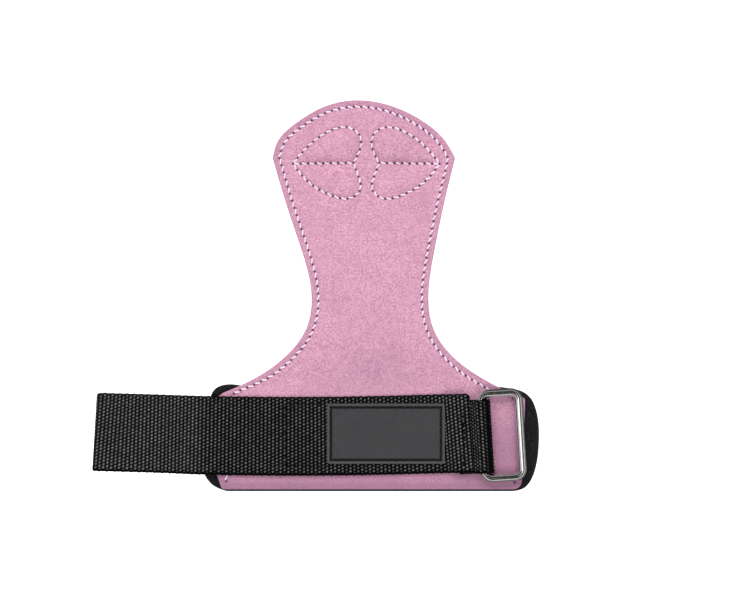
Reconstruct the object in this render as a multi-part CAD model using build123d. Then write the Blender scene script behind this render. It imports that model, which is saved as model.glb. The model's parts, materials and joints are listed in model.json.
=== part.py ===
from build123d import *
from math import asin, copysign, degrees, sqrt
import os

# A leather palm grip with a padded wrist band, lying face up, in millimetres.
#
# X runs along the wrist band, Y up the tongue towards the fingers, and Z out of the leather. The origin is on
# the underside of the wrist pad, below the middle of the strap. Each soft sheet is cut at the fold lines into one
# solid per moving body, so the front leather, say, is five nodes.

# Overall size
BRACE_HEIGHT = 210.0
PAD_LENGTH = 182.0
PAD_BOTTOM_Y = -30.3
PAD_TOP_Y = 26.5
TIP_Y = PAD_BOTTOM_Y + BRACE_HEIGHT
PAD_UPPER_CORNER_R = (11.0, 22.0)  # left, right
PAD_LOWER_CORNER_R = (14.0, 18.0)

# Sheet thicknesses
PAD_T = 4.0
BACK_T = 1.2
FRONT_T = 1.4
WEB_T = 1.6
KEEPER_T = 1.4
TAPE_T = 1.2
LABEL_T = 1.0

# Leather outline. Each station of the tongue, from the flare to the head, has its height, left edge and right
# edge. Above the neck the tongue leans to the left
LEATHER_BOTTOM_Y = PAD_BOTTOM_Y + 1.0
LEATHER_X = (-82.0, 83.0)
SHOULDER_Y = 19.6
TONGUE_STATIONS = (
    (22.3, -79.0, 75.0),
    (30.1, -62.0, 60.4),
    (43.0, -44.3, 43.2),
    (55.9, -34.7, 34.4),
    (73.0, -31.4, 31.4),
    (98.8, -36.8, 34.7),
    (124.6, -45.4, 40.0),
    (148.5, -52.4, 45.9),
)
HEAD_LEFT = ((-50.0, 157.0), (-39.0, 168.0), (-25.0, 176.1))
HEAD_RIGHT = ((13.1, 176.1), (29.8, 167.5), (39.5, 159.0))
APEX_X = -7.2
BASE_CORNER_R = 5.0
SHOULDER_R = 2.5
HEAD_CORNER_R = 1.0

# The leather steps down from the pad to the surface that the brace lies on
STEP_START_Y = 27.0
STEP_END_Y = 55.0

# Fold lines of the soft sheets
LEFT_FOLD_X = -47.0
RIGHT_FOLD_X = 51.2
PALM_FOLD_Y = 60.0
FINGER_FOLD_Y = 112.0
FOLD_GAP = 0.4

# Padded lobes in the head, right side: distance from the lobe axis, and height above the seam between the lobes
LOBE_AXIS_X = -2.0
LOBE_SEAM_Y = 146.0
LOBE_INNER = (7.0, 0.0)
LOBE_TIP = (39.4, -0.6)
UPPER_LOBE = ((3.3, 8.0), (3.6, 14.5), (10.0, 18.8), (18.0, 17.6), (28.0, 11.5), (36.0, 3.6))
LOWER_LOBE = ((4.8, -6.0), (3.2, -14.5), (9.0, -19.2), (18.0, -17.9), (28.0, -12.8), (36.0, -5.2))
UPPER_FOAM_T = 3.6
LOWER_FOAM_T = 1.2
FOAM_FOOT, FOAM_TOP = 0.74, 0.50  # shares of the lobe's outline
COVER_FOOT, COVER_TOP = 0.86, 0.62

# Webbing strap
STRAP_WIDTH = 40.5
STRAP_RIGHT_X = 53.2
STRAP_LEFT_X = -148.0
RISE_START_X, RISE_END_X = 40.6, 45.4  # where the strap climbs onto the keeper's tabs
DROP_START_X, DROP_END_X = -84.0, -122.0  # where the tail comes down beyond the pad
TAIL_FOLD_X = -94.0
TAIL_FOLD_GAP = 2.0
TIP_FOLD_X = -121.0
LOOP_TAPE_X = (-119.5, -97.0)
HOOK_TAPE_X = (-146.0, -122.5)
TAPE_WIDTH = 38.0

# Label patch
LABEL_SIZE = (63.0, 32.2)
LABEL_CENTRE = (8.5, 0.7)
LABEL_CORNER_R = 1.2

# Ring, and the keeper that holds its inner bar. Both lean a little, and lengths along the keeper run from that
# bar's axis
WIRE_R = 2.1
RING_PIVOT = (60.0, -0.7)
RING_LENGTH = 20.6  # between the centre lines of the two long bars
RING_WIDTH = 45.8  # between the centre lines of the two short bars
RING_CORNER_R = 4.2
RING_LEAN = 3.5
RING_LIFT = 0.6  # the gap between the outer bar and the leather
WIRE_CLEARANCE = 0.65
KEEPER_WIDTH = 40.1  # a little under the strap's, so that it clears the ring's round corners
TAB_START = -13.2
LOOP_START = -5.2  # where the keeper's upper layer leaves the lower one
LOOP_FLAT = -1.6  # where the upper layer is level again
LOOP_END = 1.4  # the centre of the keeper's round end

# Sewing
STITCH_PITCH = 4.0
STITCH_LENGTH = 2.9
THREAD_W, THREAD_H = 0.8, 0.4
THREAD_GAP = 0.05
EDGE_INSET = 3.6
LABEL_INSET = 2.0
SEWN_BOX = (-45.1, 50.2, -16.7, 16.8)
FOLD_MARGIN = 2.6  # no stitch's centre is this near a fold line

BACK_Z = PAD_T
FRONT_Z = BACK_Z + BACK_T
STRAP_Z = FRONT_Z + FRONT_T
TAB_Z = STRAP_Z + KEEPER_T
RAISED_STRAP_Z = TAB_Z + KEEPER_T
TAIL_Z = TAPE_T
WIRE_Z = TAB_Z + WIRE_CLEARANCE + WIRE_R
FAR = 300.0


def step_height(u, start, end, z_start, z_end):
    """The height at u of a step made of two equal tangent arcs, level at both ends."""
    side = copysign(1.0, end - start)
    run, drop = abs(end - start), z_end - z_start
    radius = (run**2 + drop**2) / (4 * abs(drop))
    along = min(max((u - start) * side, 0.0), run)
    if along <= run / 2:
        return z_start + copysign(radius - sqrt(radius**2 - along**2), drop)
    return z_end - copysign(radius - sqrt(radius**2 - (run - along) ** 2), drop)


def leather_height(y):
    """The height of the back leather's lower face."""
    return step_height(y, STEP_START_Y, STEP_END_Y, BACK_Z, 0.0)


def strap_height(x):
    """The height of the strap's lower face."""
    if x > 0:
        return step_height(x, RISE_START_X, RISE_END_X, STRAP_Z, RAISED_STRAP_Z)
    return step_height(x, DROP_START_X, DROP_END_X, STRAP_Z, TAIL_Z)


def step_edges(start, end):
    """Two tangent arcs from one level point to the other."""
    side = copysign(1.0, end[0] - start[0])
    middle = ((start[0] + end[0]) / 2, (start[1] + end[1]) / 2)
    return [
        TangentArc(start, middle, tangent=(side, 0)),
        TangentArc(end, middle, tangent=(-side, 0)),
    ]


def sheet(plane, edges, start, end, thickness, width):
    """A sheet that follows a chain of edges from start to end, extruded to both sides of the plane."""
    lift = Location((0, thickness, 0))
    upper = [edge.moved(lift) for edge in edges]
    ends = [Line(p, (p[0], p[1] + thickness)) for p in (start, end)]
    return extrude(plane * make_face([*edges, *upper, *ends]), width / 2, both=True)


def clip(solid, x=(-FAR, FAR), y=(-FAR, FAR)):
    """The part of a solid between two X and two Y values."""
    size = (x[1] - x[0], y[1] - y[0], FAR)
    middle = ((x[0] + x[1]) / 2, (y[0] + y[1]) / 2, 0)
    return solid & Pos(*middle) * Box(*size)


def round_corner(face, corner, radius):
    """The face with its corner nearest to a point rounded."""
    vertex = face.vertices().sort_by_distance(corner)[0]
    return fillet(vertex, radius)


def leather_outlines():
    """The outline of the leather, seen from above, before and after its corners are rounded."""
    edges = [Line(*[(x, LEATHER_BOTTOM_Y) for x in LEATHER_X])]
    corners = []
    for i, x in enumerate(LEATHER_X):
        edge = [(station[i + 1], station[0]) for station in TONGUE_STATIONS]
        edges += [Line((x, LEATHER_BOTTOM_Y), (x, SHOULDER_Y)), Line((x, SHOULDER_Y), edge[0]), Spline(*edge)]
        corners.append(edge[-1])
    sharp = face = make_face([*edges, Spline(corners[0], *HEAD_LEFT, (APEX_X, TIP_Y), *HEAD_RIGHT, corners[1])])
    for corner, x in zip(corners, LEATHER_X, strict=True):
        face = round_corner(face, (*corner, 0), HEAD_CORNER_R)
        face = round_corner(face, (x, LEATHER_BOTTOM_Y, 0), BASE_CORNER_R)
        face = round_corner(face, (x, SHOULDER_Y, 0), SHOULDER_R)
    return sharp, face


def wrist_pad():
    """The neoprene pad, with a larger corner radius at each corner of its right-hand end."""
    width, height = PAD_LENGTH, PAD_TOP_Y - PAD_BOTTOM_Y
    face = Pos(0, (PAD_TOP_Y + PAD_BOTTOM_Y) / 2) * Rectangle(width, height)
    ends = (-width / 2, width / 2)
    for x, upper, lower in zip(ends, PAD_UPPER_CORNER_R, PAD_LOWER_CORNER_R, strict=True):
        face = round_corner(face, (x, PAD_TOP_Y, 0), upper)
        face = round_corner(face, (x, PAD_BOTTOM_Y, 0), lower)
    return extrude(face, PAD_T)


def leather_sheet(outline, lift, thickness):
    """One layer of leather, lying on the pad and stepping down to the level of the pad's underside."""
    step_start, step_end = (STEP_START_Y, BACK_Z + lift), (STEP_END_Y, lift)
    start, end = (-FAR, BACK_Z + lift), (FAR, lift)
    edges = [Line(start, step_start), *step_edges(step_start, step_end), Line(step_end, end)]
    return sheet(Plane.YZ, edges, start, end, thickness, 2 * FAR) & extrude(outline, FAR)


def lobe_point(side, point, middle=(0.0, 0.0), share=1.0):
    """A point of a lobe's outline, drawn in towards its middle by a share."""
    u = middle[0] + (point[0] - middle[0]) * share
    v = middle[1] + (point[1] - middle[1]) * share
    return (LOBE_AXIS_X + side * u, LOBE_SEAM_Y + v)


def lobe_edges(side, lobe, middle=(0.0, 0.0), share=1.0):
    """A lobe's curved edge and its seam."""
    points = [lobe_point(side, p, middle, share) for p in (LOBE_INNER, *lobe, LOBE_TIP)]
    return Spline(*points), Line(points[0], points[-1])


def lobe_block(side, lobe, bottom, height, foot, top):
    """A raised block on a lobe, narrower at its top than at its foot."""
    middle = (sum(p[0] for p in lobe) / len(lobe), sum(p[1] for p in lobe) / len(lobe) / 1.5)
    sections = [
        Pos(0, 0, z) * make_face(lobe_edges(side, lobe, middle, share))
        for z, share in ((bottom, foot), (bottom + height, top))
    ]
    return loft(sections)


def strap_sheet(x, thickness=WEB_T, lift=0.0, width=STRAP_WIDTH):
    """A stretch of the strap, or of a tape that lies under it, between two X values."""
    rise = (RISE_START_X, STRAP_Z + lift), (RISE_END_X, RAISED_STRAP_Z + lift)
    drop = (DROP_START_X, STRAP_Z + lift), (DROP_END_X, TAIL_Z + lift)
    start, end = (STRAP_LEFT_X, TAIL_Z + lift), (STRAP_RIGHT_X, RAISED_STRAP_Z + lift)
    edges = [
        Line(start, drop[1]),
        *step_edges(*drop),
        Line(drop[0], rise[0]),
        *step_edges(*rise),
        Line(rise[1], end),
    ]
    return clip(sheet(Plane.XZ, edges, start, end, thickness, width), x=x)


def on_ring(solid):
    """A shape drawn about the axis of the ring's inner bar, and from the keeper's underside up, put in place."""
    return Location((*RING_PIVOT, STRAP_Z)) * Rot(0, 0, RING_LEAN) * solid


def keeper():
    """The keeper: two tabs under the strap, and the loop that holds the ring's inner bar."""
    inner_r = WIRE_R + WIRE_CLEARANCE
    outer_r = inner_r + KEEPER_T
    mouth = 2 * KEEPER_T
    outer = [(LOOP_FLAT - 0.5, 2 * outer_r), (LOOP_START - 0.4, mouth), (TAB_START, mouth), (TAB_START, 0)]
    inner = [(LOOP_FLAT, outer_r + inner_r), (LOOP_START, KEEPER_T)]
    faces = []
    for radius, corners in ((outer_r, outer), (inner_r, inner)):
        top, bottom = (LOOP_END, outer_r + radius), (LOOP_END, outer_r - radius)
        points = [top, *corners, bottom]
        lines = [Line(a, b) for a, b in zip(points, points[1:], strict=False)]
        faces.append(make_face([*lines, ThreePointArc(bottom, (LOOP_END + radius, outer_r), top)]))
    return on_ring(extrude(Plane.XZ * (faces[0] - faces[1]), KEEPER_WIDTH / 2, both=True))


def ring():
    """The bent wire ring, with its inner bar in the keeper and its outer bar down near the leather."""
    drop = WIRE_Z - STRAP_Z - WIRE_R - RING_LIFT
    path = Pos(RING_LENGTH / 2, 0) * RectangleRounded(RING_LENGTH, RING_WIDTH, RING_CORNER_R)
    wire = path.wires()[0]
    start = Plane(origin=wire @ 0, z_dir=wire % 0)
    solid = sweep(start * Circle(WIRE_R), path=wire)
    return on_ring(Pos(0, 0, WIRE_Z - STRAP_Z) * Rot(0, degrees(asin(drop / RING_LENGTH)), 0) * solid)


def stitch(ends, height):
    """One stitch between two points, lying on a surface whose height is known."""
    (x0, y0), (x1, y1) = ends
    middle = Vector((x0 + x1) / 2, (y0 + y1) / 2)
    along = Vector(x1 - x0, y1 - y0)
    across = Vector(y0 - y1, x1 - x0)

    def slope(direction):
        """The direction, tilted to lie in the surface."""
        step = direction.normalized() * 0.5
        ahead, behind = middle + step, middle - step
        return Vector(2 * step.X, 2 * step.Y, height(ahead.X, ahead.Y) - height(behind.X, behind.Y))

    origin = (middle.X, middle.Y, height(middle.X, middle.Y) + THREAD_GAP)
    plane = Plane(origin=origin, x_dir=slope(along), z_dir=slope(along).cross(slope(across)))
    return extrude(plane * SlotOverall(along.length, THREAD_W), THREAD_H)


def stitches(path, height, keep=lambda x, y: True, inset=0.0):
    """Evenly spaced stitches along a path, or to the left of it, on a surface whose height is known."""
    count = max(round(path.length / STITCH_PITCH), 1)
    made = []
    for i in range(count):
        middle = path.length * (i + 0.5) / count
        ends = []
        for along in (middle - STITCH_LENGTH / 2, middle + STITCH_LENGTH / 2):
            point = path.position_at(along, position_mode=PositionMode.LENGTH)
            tangent = path.tangent_at(along, position_mode=PositionMode.LENGTH)
            ends.append((point.X - inset * tangent.Y, point.Y + inset * tangent.X))
        if keep((ends[0][0] + ends[1][0]) / 2, (ends[0][1] + ends[1][1]) / 2):
            made.append(stitch(ends, height))
    return made


def away_from_folds(x, y):
    """True if a stitch there is clear of every fold line."""
    if abs(x - LEFT_FOLD_X) < FOLD_MARGIN or abs(x - RIGHT_FOLD_X) < FOLD_MARGIN:
        return y > PALM_FOLD_Y
    return min(abs(y - PALM_FOLD_Y), abs(y - FINGER_FOLD_Y)) > FOLD_MARGIN


def body_of(x, y):
    """The name of the moving body that a point of the leather belongs to."""
    if y > FINGER_FOLD_Y:
        return "head"
    if y > PALM_FOLD_Y:
        return "palm"
    if x < LEFT_FOLD_X:
        return "left"
    return "right" if x > RIGHT_FOLD_X else "base"


def leather_top(x, y):
    """The height of the front leather's upper face, away from the lobes."""
    return leather_height(y) + BACK_T + FRONT_T


def edge_threads(outline):
    """The stitches round the leather's edge, by body. The bottom edge and what the strap covers have none."""
    wire = outline.wires()[0]
    seam_end = LEATHER_BOTTOM_Y + EDGE_INSET + STITCH_PITCH / 2
    clear = STRAP_WIDTH / 2 + STITCH_LENGTH / 2

    def seen(x, y):
        on_line = wire.distance_to(Vertex(x, y)) > EDGE_INSET - 0.3
        return on_line and y > seam_end and (x > 0 or abs(y) > clear) and away_from_folds(x, y)

    threads = {}
    for edge in outline.edges():
        middle, tangent = edge @ 0.5, edge % 0.5
        inward = outline.faces()[0].is_inside(middle + Vector(-tangent.Y, tangent.X))
        for made in stitches(edge, leather_top, seen, EDGE_INSET if inward else -EDGE_INSET):
            centre = made.center()
            threads.setdefault(body_of(centre.X, centre.Y), []).append(made)
    return threads


def rectangle_thread(x0, x1, y0, y1, height, keep=lambda x, y: True):
    """Stitches along the four sides of a rectangle."""
    corners = [(x0, y0), (x1, y0), (x1, y1), (x0, y1)]
    sides = [Line(a, b) for a, b in zip(corners, corners[1:] + corners[:1], strict=True)]
    return [s for side in sides for s in stitches(side, height, keep)]


def label():
    """The patch on the strap, and its thread."""
    (width, height), (x, y) = LABEL_SIZE, LABEL_CENTRE
    bottom = STRAP_Z + WEB_T
    patch = Pos(x, y, bottom) * extrude(RectangleRounded(width, height, LABEL_CORNER_R), LABEL_T)
    half_w, half_h = width / 2 - LABEL_INSET, height / 2 - LABEL_INSET
    thread = rectangle_thread(
        x - half_w, x + half_w, y - half_h, y + half_h, lambda x, y: bottom + LABEL_T
    )
    return patch, thread


def strap_thread():
    """The sewn box that holds the strap to the leather, where the label and the rise leave it uncovered."""
    label_x = [LABEL_CENTRE[0] + side * (LABEL_SIZE[0] / 2 + STITCH_LENGTH) for side in (-1, 1)]

    def keep(x, y):
        beside_label = x < label_x[0] or x > label_x[1] or abs(y) > LABEL_SIZE[1] / 2 + THREAD_W
        return beside_label and not RISE_START_X - 2 < x < RISE_END_X + 2

    return rectangle_thread(*SEWN_BOX, lambda x, y: strap_height(x) + WEB_T, keep)


def sections(solid):
    """A sheet cut at the fold lines, by body."""
    half = FOLD_GAP / 2
    low = (-FAR, PALM_FOLD_Y - half)
    return {
        "base": clip(solid, x=(LEFT_FOLD_X + half, RIGHT_FOLD_X - half), y=low),
        "left": clip(solid, x=(-FAR, LEFT_FOLD_X - half), y=low),
        "right": clip(solid, x=(RIGHT_FOLD_X + half, FAR), y=low),
        "palm": clip(solid, y=(PALM_FOLD_Y + half, FINGER_FOLD_Y - half)),
        "head": clip(solid, y=(FINGER_FOLD_Y + half, FAR)),
    }


def build():
    """Every node of the brace, by name."""
    sharp_outline, outline = leather_outlines()
    nodes = {f"back_leather_{k}": s for k, s in sections(leather_sheet(outline, 0.0, BACK_T)).items()}
    front = sections(leather_sheet(outline, BACK_T, FRONT_T))
    lobes = (("upper", UPPER_LOBE, UPPER_FOAM_T), ("lower", LOWER_LOBE, LOWER_FOAM_T))
    for side, side_name in ((-1, "left"), (1, "right")):
        thread = []
        for lobe_name, lobe, foam_t in lobes:
            foam = lobe_block(side, lobe, BACK_T, foam_t, FOAM_FOOT, FOAM_TOP)
            cover = lobe_block(side, lobe, BACK_T + FRONT_T / 2, foam_t + FRONT_T / 2, COVER_FOOT, COVER_TOP)
            front["head"] = front["head"] + cover - foam
            nodes[f"foam_pad_{lobe_name}_{side_name}"] = foam
            thread += stitches(lobe_edges(side, lobe)[0], leather_top)
        thread += stitches(lobe_edges(side, UPPER_LOBE)[1], leather_top)
        nodes[f"lobe_thread_{side_name}"] = thread
    nodes |= {f"front_leather_{k}": s for k, s in front.items()}
    nodes |= {f"edge_thread_{k}": s for k, s in edge_threads(sharp_outline).items()}

    pad = sections(wrist_pad())
    nodes |= {f"wrist_pad_{k}": pad[k] for k in ("base", "left", "right")}

    half = FOLD_GAP / 2
    nodes["strap_sewn_length"] = strap_sheet((LEFT_FOLD_X + half, STRAP_RIGHT_X))
    nodes["strap_over_left_wing"] = strap_sheet((TAIL_FOLD_X + TAIL_FOLD_GAP / 2, LEFT_FOLD_X - half))
    nodes["strap_tail"] = strap_sheet((TIP_FOLD_X + half, TAIL_FOLD_X - TAIL_FOLD_GAP / 2))
    nodes["strap_tip"] = strap_sheet((STRAP_LEFT_X, TIP_FOLD_X - half))
    nodes["loop_tape"] = strap_sheet(LOOP_TAPE_X, TAPE_T, -TAPE_T, TAPE_WIDTH)
    nodes["hook_tape"] = strap_sheet(HOOK_TAPE_X, TAPE_T, -TAPE_T, TAPE_WIDTH)
    nodes["strap_thread"] = strap_thread()

    holder = keeper()
    nodes["keeper_tabs"] = clip(holder, x=(-FAR, RIGHT_FOLD_X - half))
    nodes["keeper_loop"] = clip(holder, x=(RIGHT_FOLD_X + half, FAR))
    nodes["ring"] = ring()
    nodes["label_patch"], nodes["label_thread"] = label()
    return nodes


def main():
    os.makedirs("parts", exist_ok=True)
    for name, made in build().items():
        solids = made if isinstance(made, list) else made.solids()
        shape = solids[0] if len(solids) == 1 else Compound(children=list(solids))
        export_step(shape, f"parts/{name}.step")
        print(name, len(solids))


main()
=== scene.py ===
import json
import math

import bpy
import numpy as np
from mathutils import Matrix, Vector, kdtree, noise
from mathutils.geometry import delaunay_2d_cdt


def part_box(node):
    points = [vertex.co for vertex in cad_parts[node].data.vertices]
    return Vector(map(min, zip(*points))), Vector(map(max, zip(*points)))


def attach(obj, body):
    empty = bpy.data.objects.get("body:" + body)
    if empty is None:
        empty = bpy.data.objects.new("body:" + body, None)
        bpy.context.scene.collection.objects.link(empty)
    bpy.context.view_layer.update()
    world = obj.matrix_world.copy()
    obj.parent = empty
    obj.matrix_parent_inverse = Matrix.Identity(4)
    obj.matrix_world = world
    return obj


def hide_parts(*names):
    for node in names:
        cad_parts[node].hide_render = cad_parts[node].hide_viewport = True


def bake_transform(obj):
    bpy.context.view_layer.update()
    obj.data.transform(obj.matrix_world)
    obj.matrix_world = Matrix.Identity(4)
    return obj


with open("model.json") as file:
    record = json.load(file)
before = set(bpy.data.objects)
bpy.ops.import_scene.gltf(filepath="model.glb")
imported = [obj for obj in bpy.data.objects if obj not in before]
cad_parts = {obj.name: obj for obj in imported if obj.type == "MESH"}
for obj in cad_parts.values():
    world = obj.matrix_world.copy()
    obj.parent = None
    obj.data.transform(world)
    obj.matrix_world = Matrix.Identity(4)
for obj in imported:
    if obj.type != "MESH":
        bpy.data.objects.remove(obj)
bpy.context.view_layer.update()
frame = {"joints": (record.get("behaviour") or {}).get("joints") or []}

# A leather palm grip with a padded wrist band, in millimetres until a mesh is made. X runs along the wrist
# band, Y up the tongue towards the fingers, and Z out of the leather.
MM = 0.001
JOINTS = {joint["name"]: joint for joint in frame["joints"]}


def cad_box(node):
    """The lowest and highest corner of a CAD node, in millimetres."""
    return [np.array(corner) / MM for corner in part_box(node)]


def pivot(joint):
    """A joint's place, in millimetres."""
    return np.array(JOINTS[joint]["pos_m"]) / MM


# Levels and thicknesses, from the CAD nodes
PAD_TOP_Z = cad_box("wrist_pad_base")[1][2]
LINING_T = cad_box("back_leather_left")[1][2] - PAD_TOP_Z
SUEDE_TOP_Z = cad_box("front_leather_left")[1][2]
FLAT_TOP_Z = SUEDE_TOP_Z - PAD_TOP_Z  # the front leather's upper face, where the brace lies on the surface
STRAP_T = cad_box("strap_over_left_wing")[1][2] - SUEDE_TOP_Z
STRAP_W = 42.6  # over the crests at its upper edge and the plain selvedge at its lower edge
KEEPER_T = 1.4
LABEL_LOW, LABEL_HIGH = cad_box("label_patch")
LABEL_MIDDLE_X = (LABEL_LOW[0] + LABEL_HIGH[0]) / 2  # the pad and the strap are cut there, out of sight
WIRE_R = 2.2

# Leather outline: stations of the tongue as (height, left edge, right edge), and the head from left to right
BOTTOM_Y = cad_box("front_leather_base")[0][1]
TIP_Y = cad_box("front_leather_head")[1][1]
BASE_CORNERS = ((-79.5, BOTTOM_Y), (81.2, BOTTOM_Y))
LEFT_EDGE = (-82.5, -20.5)  # below this the left-hand edge slants inwards
SHOULDERS = ((-82.2, 19.6), (83.2, 19.6))
TONGUE_STATIONS = (
    (22.3, -79.0, 75.0), (30.1, -62.0, 60.4), (43.0, -44.3, 43.2), (55.9, -34.7, 34.4),
    (73.0, -31.4, 31.4), (98.8, -36.8, 34.7), (124.6, -45.4, 40.0), (148.5, -52.4, 45.9),
)
HEAD = (
    (-50.0, 157.0), (-39.0, 168.0), (-25.0, 176.1), (-7.2, TIP_Y),
    (13.1, 176.1), (29.8, 167.5), (39.5, 159.0),
)
BASE_CORNER_R, SHOULDER_R, HEAD_CORNER_R = 5.5, 2.5, 1.6  # the first two on the right
LEFT_CORNER_RS = (3.0, 6.0, 2.2)  # at the left shoulder, at LEFT_EDGE and at the lower left corner
STEP_START_Y, STEP_END_Y = 27.0, 55.0  # where the leather comes down off the pad

# Wrist pad: its two ends, which bulge a little, from the top edge down
PAD_RIGHT = (
    (66.0, 26.0), (74.0, 24.9), (80.8, 23.5), (86.0, 20.0), (88.9, 14.5),
    (90.9, -2.0), (88.9, -18.7), (86.2, -25.3), (82.7, -29.0), (77.0, -30.6),
)
PAD_LEFT = (
    (-68.0, 26.0), (-78.5, 26.6), (-83.6, 24.2), (-86.2, 19.0), (-89.6, 2.0),
    (-90.4, -10.0), (-89.6, -20.0), (-86.8, -25.2), (-82.6, -28.6), (-77.0, -30.6),
)
PAD_EDGE_R = 1.5
PAD_GAP = 0.04  # between the pad and the leather

# Padded lobes, as distances from the lobes' axis and heights above the seam between them
LOBE_AXIS_X, LOBE_SEAM_Y = -2.0, 146.0
LOBE_INNER, LOBE_TIP = (7.0, 0.0), (39.4, -0.6)
UPPER_LOBE = ((3.3, 8.0), (3.6, 14.5), (10.0, 18.8), (18.0, 17.6), (28.0, 11.5), (36.0, 3.6))
LOWER_LOBE = ((4.8, -6.0), (3.2, -14.5), (9.0, -19.2), (18.0, -17.9), (28.0, -12.8), (36.0, -5.2))
UPPER_PUFF, LOWER_PUFF = 4.0, 1.5
CELL = 0.6  # of the grid on which a lobe's shape is worked out
FILM_ROUNDS = 1500
FILM_POWER = 0.62  # below 1, so that a pocket fills out towards its seam

# Strap
RISE_X = (38.5, 47.0)  # where the strap climbs onto the keeper's tabs
DROP_X = (-84.0, -122.0)  # where the tail comes down beyond the pad
STRAP_X = (-148.2, 54.3)
STRAP_CUT_X = -75.0  # between the stretch of the tail's bending and that of the left end's
TAIL_Z = 1.2
STRAP_PLAN = ((-148.0, 1.3), (-92.0, -0.2), (-35.0, -0.8), (10.0, -0.2), (54.0, 1.1))  # not quite straight
TAPE_W = 38.0
LOOP_TAPE_X = (-119.5, -97.0)
HOOK_TAPE_X = (-146.0, -122.5)

# Weave: ribs across the strap, each a row of slanted beads, half a bead further on in every other rib
RIB_PITCH = 2.06
BEAD_PITCH = 1.81
BEAD_LONG, BEAD_SHORT = 1.10, 0.78
BEAD_SLANT = math.radians(27)
WEAVE_DEPTH = 0.7
WEAVE_STEP, KEEPER_STEP = 0.31, 0.28
# painted shade: this band, and the fade beside both edges, are painted darker
PLAIN_SELVEDGE = 0.85  # the band along the lower edge that shows no weave
SELVEDGE_FADE = 1.2
SEALED_R = 1.6  # how far a cut and heat-sealed end is rounded in

# Keeper and ring, about the axis of the ring's inner bar
RING_PIVOT = pivot("ring_swing")
RING_LEAN = math.atan2(JOINTS["ring_swing"]["axis"][0], -JOINTS["ring_swing"]["axis"][1])
RING_LENGTH, RING_WIDTH, RING_CORNERS = 20.6, 45.3, (4.6, 4.2)  # corner radii at its inner and outer bar
RING_LIFT = 0.6
KEEPER_W = 39.7
KEEPER_OUTER_R = RING_PIVOT[2] - SUEDE_TOP_Z
TAB_START, LOOP_START, LOOP_FLAT, LOOP_END = -13.2, -5.2, -1.6, 1.4

# Sewing
STITCH_PITCH = 4.0
EDGE_INSET = 3.6
SEWN_BOX = ((-45.1, -16.7), (50.2, -16.7), (50.2, 16.8), (-45.1, 16.8))
LABEL_INSET = 2.1
LABEL_PITCH = 4.4
LABEL_CORNER_R = 1.4
LABEL_RECESS = 0.28  # of the label's face, below its rim
# A needle hole's rings of points, as (radius, share of its depth)
# the share of its depth also sets how dark the hole is painted, as painted shade
HOLE_RINGS = ((0.0, 1.0), (0.38, 0.95), (0.60, 0.35), (0.95, 0.0))


# ---------------------------------------------------------------- curves


def along(line):
    """The distance of each point of a line from its start."""
    return np.concatenate([[0.0], np.cumsum(np.linalg.norm(np.diff(line, axis=0), axis=1))])


def at_distances(line, distances):
    """The points of a line at given distances along it."""
    s = along(line)
    return np.stack([np.interp(distances, s, line[:, k]) for k in range(line.shape[1])], axis=1)


def spaced(line, step, start=0.0, end=None):
    """Points evenly spaced along a line between two distances."""
    line = np.array(line, float)
    end = along(line)[-1] if end is None else end
    return at_distances(line, np.linspace(start, end, max(int(round((end - start) / step)), 1) + 1))


def curve(points, step=0.5):
    """Points evenly spaced along a natural cubic spline through a few points."""
    p = np.array(points, float)
    t = along(p)
    h = np.diff(t)
    matrix, right = np.eye(len(p)), np.zeros_like(p)
    for i in range(1, len(p) - 1):
        matrix[i, i - 1 : i + 2] = h[i - 1], 2 * (h[i - 1] + h[i]), h[i]
        right[i] = 6 * ((p[i + 1] - p[i]) / h[i] - (p[i] - p[i - 1]) / h[i - 1])
    bend = np.linalg.solve(matrix, right)
    u = np.linspace(0, t[-1], 60 * len(p))
    k = np.clip(np.searchsorted(t, u) - 1, 0, len(h) - 1)
    before, after, span = (u - t[k])[:, None], (t[k + 1] - u)[:, None], h[k][:, None]
    cubic = (bend[k] * after**3 + bend[k + 1] * before**3) / (6 * span)
    linear = (p[k] / span - bend[k] * span / 6) * after + (p[k + 1] / span - bend[k + 1] * span / 6) * before
    return spaced(cubic + linear, step)


def box_sides(corners):
    """The four sides of a box, each as its two ends."""
    return [np.array([corners[i], corners[(i + 1) % 4]]) for i in range(4)]


def loop_of(runs, radii, step=0.6):
    """A closed outline of several runs, anticlockwise, with the corner after each run rounded."""
    pieces = []
    cuts = []
    for run, following, radius in zip(runs, runs[1:] + runs[:1], radii, strict=True):
        a, b = run[-1] - run[-2], following[1] - following[0]
        turn = math.acos(np.clip(a @ b / np.linalg.norm(a) / np.linalg.norm(b), -1, 1))
        cuts.append(radius * math.tan(turn / 2))
    for i, run in enumerate(runs):
        kept = spaced(run, step, cuts[i - 1], along(run)[-1] - cuts[i])
        following = runs[(i + 1) % len(runs)]
        end, corner, start = kept[-1], run[-1], at_distances(following, [cuts[i]])[0]
        pieces.append(kept[:-1])
        if cuts[i] > 0.05:
            t = np.linspace(0, 1, 200)[:, None]
            bend = (1 - t) ** 2 * end + 2 * t * (1 - t) * corner + t**2 * start
            pieces.append(spaced(bend, min(step, cuts[i] / 3))[:-1])
        else:
            pieces.append(end[None])
    return np.concatenate(pieces)


def inset(loop, distance):
    """A closed anticlockwise loop moved inwards."""
    ahead, behind = np.roll(loop, -1, axis=0), np.roll(loop, 1, axis=0)
    tangent = ahead - behind
    tangent /= np.linalg.norm(tangent, axis=1)[:, None]
    return loop + distance * np.stack([-tangent[:, 1], tangent[:, 0]], axis=1)


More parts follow.
